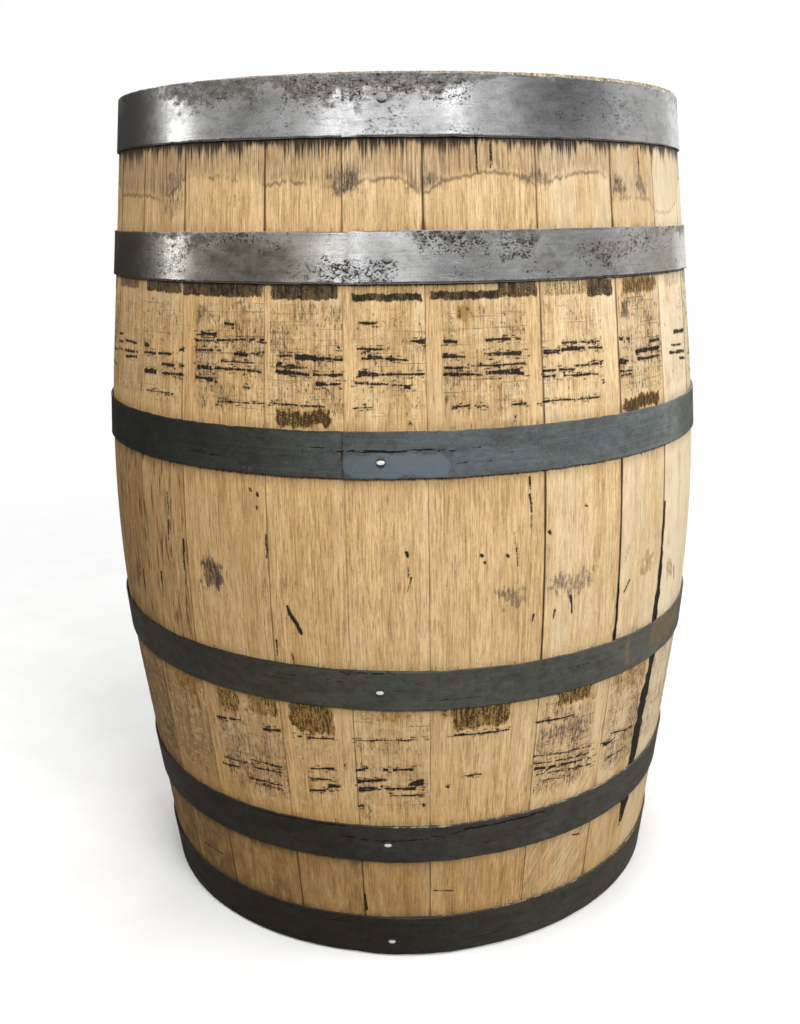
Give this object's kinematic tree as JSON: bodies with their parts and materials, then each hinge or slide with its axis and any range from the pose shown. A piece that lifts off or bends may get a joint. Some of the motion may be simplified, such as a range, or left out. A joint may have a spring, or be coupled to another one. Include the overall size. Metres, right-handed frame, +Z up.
{
  "type": "whisky barrel",
  "caption": "Upright coopered oak whisky barrel: bowed staves held by riveted steel hoops, boarded heads set in grooves inside each rim, and a bung in the side.",
  "frame": {"origin": "middle of the foot, at the height of the surface it stands on", "axes": "+Z up along the barrel's axis; -Y is the front with the hoop laps and rivets, +Y the side with the bung"},
  "size_m": [0.6741, 0.6777, 0.876],
  "materials": {
    "oak_stave": "raw oak, weathered, stained and scuffed outside, charred inside",
    "oak_head": "raw sawn oak, weathered outside, charred inside",
    "dowel": "raw oak",
    "bright_hoop": "bare steel, worn bright, pitted and lightly rusted",
    "dark_hoop": "dark oxidised steel, nicked edges",
    "rivet": "worn bright steel",
    "bung": "turned poplar, end grain outwards"
  },
  "bodies": {
    "barrel": {"bottom_bilge_hoop": "dark_hoop", "bottom_head_board_1": "oak_head", "bottom_head_board_2": "oak_head", "bottom_head_board_3": "oak_head", "bottom_head_board_4": "oak_head", "bottom_head_board_5": "oak_head", "bottom_head_board_6": "oak_head", "bottom_head_dowels": "dowel", "bottom_head_hoop": "dark_hoop", "bottom_quarter_hoop": "dark_hoop", "bung_stave": "oak_stave", "hoop_rivets": "rivet", "stave_01": "oak_stave", "stave_02": "oak_stave", "stave_03": "oak_stave", "stave_04": "oak_stave", "stave_05": "oak_stave", "stave_06": "oak_stave", "stave_07": "oak_stave", "stave_08": "oak_stave", "stave_09": "oak_stave", "stave_10": "oak_stave", "stave_11": "oak_stave", "stave_12": "oak_stave", "stave_13": "oak_stave", "stave_14": "oak_stave", "stave_15": "oak_stave", "stave_16": "oak_stave", "stave_17": "oak_stave", "stave_18": "oak_stave", "stave_19": "oak_stave", "stave_20": "oak_stave", "stave_21": "oak_stave", "stave_22": "oak_stave", "stave_23": "oak_stave", "stave_24": "oak_stave", "top_bilge_hoop": "dark_hoop", "top_head_board_1": "oak_head", "top_head_board_2": "oak_head", "top_head_board_3": "oak_head", "top_head_board_4": "oak_head", "top_head_board_5": "oak_head", "top_head_board_6": "oak_head", "top_head_dowels": "dowel", "top_head_hoop": "bright_hoop", "top_quarter_hoop": "bright_hoop"},
    "bung": {"bung": "bung"}
  },
  "joints": [
    {"name": "bung_pull", "type": "slide", "parent": "barrel", "child": "bung", "axis": [0, 1, 0], "range_m": [0, 0.08]}
  ]
}
